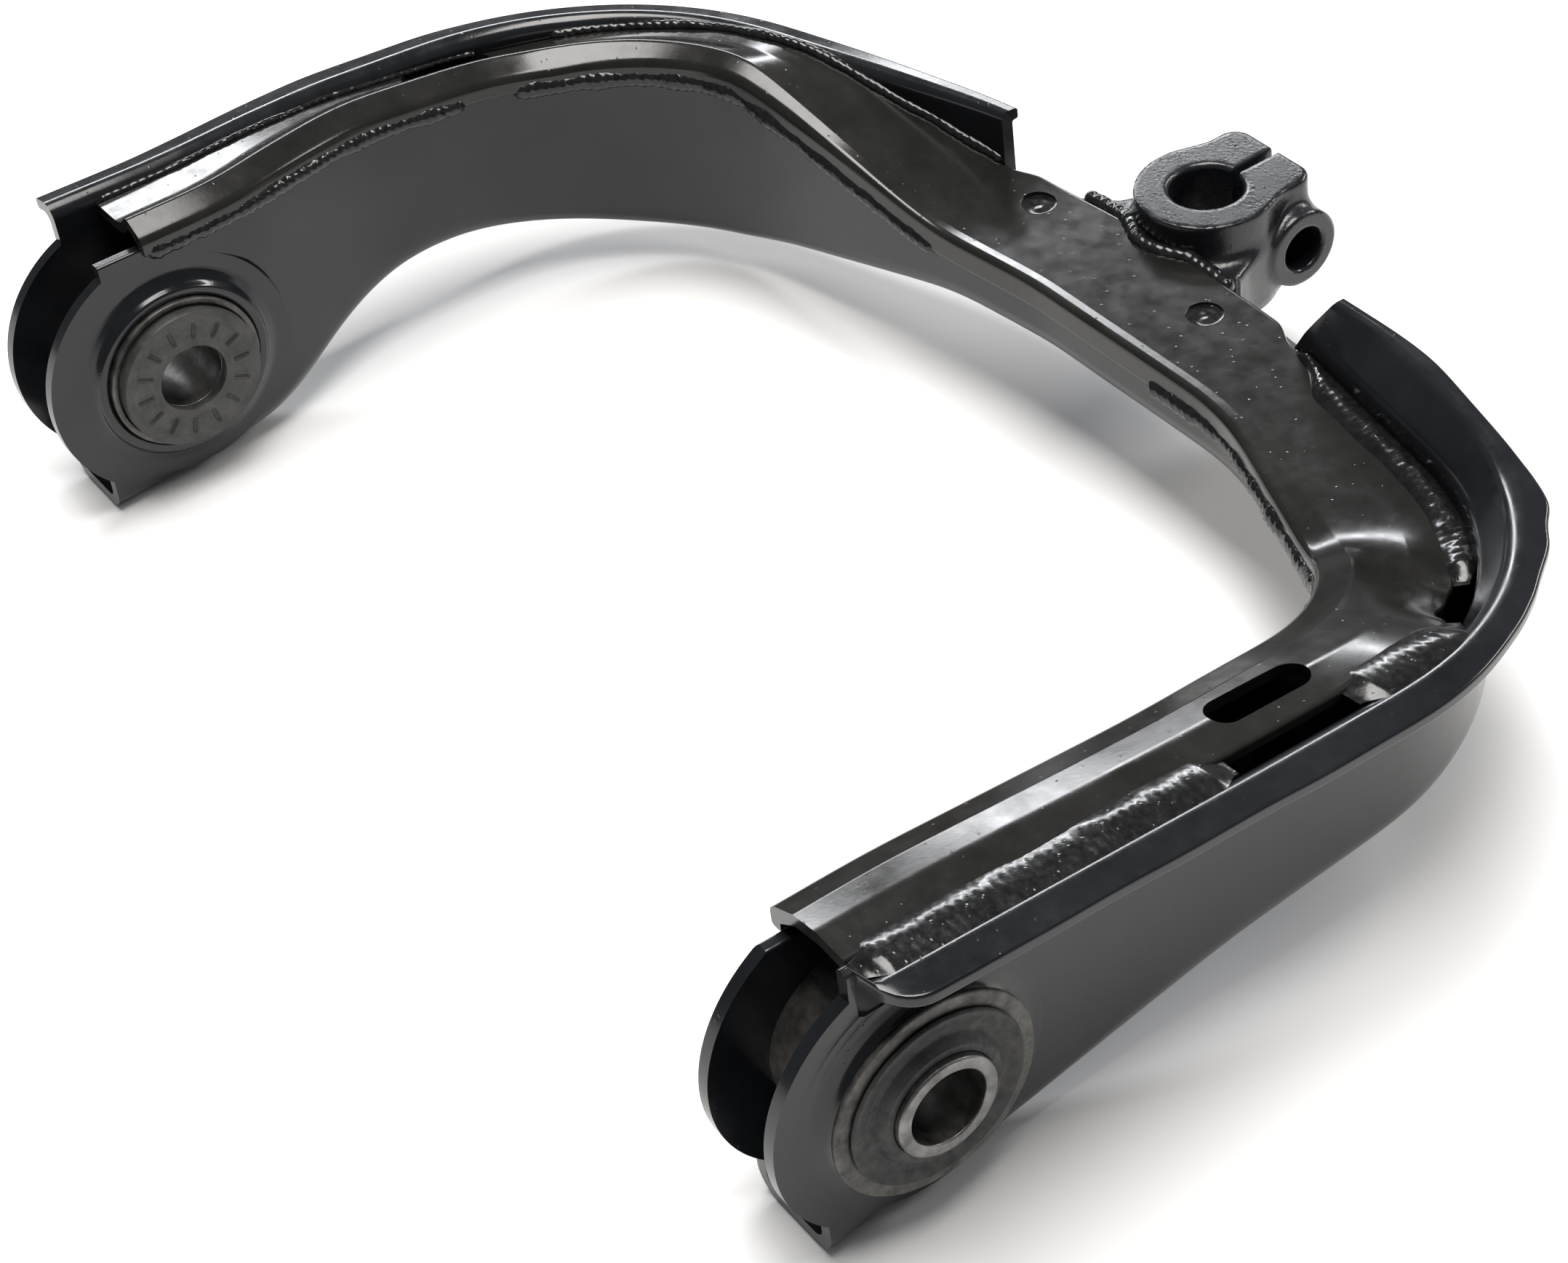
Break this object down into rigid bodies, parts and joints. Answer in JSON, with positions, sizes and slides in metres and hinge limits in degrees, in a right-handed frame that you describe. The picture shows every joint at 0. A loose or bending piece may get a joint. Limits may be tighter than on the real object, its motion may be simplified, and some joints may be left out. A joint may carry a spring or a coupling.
{
  "type": "control arm",
  "caption": "U-shaped pressed steel control arm with a closed box section, a pinch clamp for a ball stud at the apex and a rubber bushing with a serrated face in each leg end.",
  "frame": {"origin": "centre of the left bushing's serrated face, on the pivot axis", "axes": "+X along the pivot axis towards the right bushing, +Y from the pivot axis towards the clamp at the apex, +Z out of the clamp's flat top face"},
  "size_m": [0.3445, 0.2625, 0.076],
  "materials": {
    "channel": "glossy black electrocoat",
    "plate": "glossy black electrocoat over the drawn sheet",
    "forging": "black coated forging with a slightly rough skin",
    "weld": "black coated rippled bead",
    "outer_sleeve": "dull phosphated steel",
    "rubber": "matt moulded black",
    "inner_sleeve": "turned end, bare steel",
    "serrated_washer": "matt grey phosphate with scored teeth"
  },
  "bodies": {
    "arm": {"lower_channel": "channel", "upper_plate": "plate", "ball_joint_clamp": "forging", "inner_weld_left": "weld", "inner_weld_right": "weld", "outer_weld_left": "weld", "outer_weld_right": "weld", "clamp_weld": "weld", "plug_weld_left": "weld", "plug_weld_right": "weld", "left_outer_sleeve": "outer_sleeve", "left_rubber": "rubber", "right_outer_sleeve": "outer_sleeve", "right_rubber": "rubber"},
    "left_inner": {"left_inner_sleeve": "inner_sleeve", "left_serrated_washer": "serrated_washer"},
    "right_inner": {"right_inner_sleeve": "inner_sleeve", "right_serrated_washer": "serrated_washer"}
  },
  "joints": [
    {"name": "left_pivot", "type": "hinge", "parent": "arm", "child": "left_inner", "pos_m": [0, 0, 0], "axis": [1, 0, 0], "range_deg": [-25, 25], "stiffness_Nm_per_rad": 60},
    {"name": "right_pivot", "type": "hinge", "parent": "arm", "child": "right_inner", "pos_m": [0.256, 0, 0], "axis": [1, 0, 0], "range_deg": [-25, 25], "stiffness_Nm_per_rad": 60}
  ],
  "couplings": [
    {"joint": "right_pivot", "follows": "left_pivot", "ratio": 1}
  ]
}
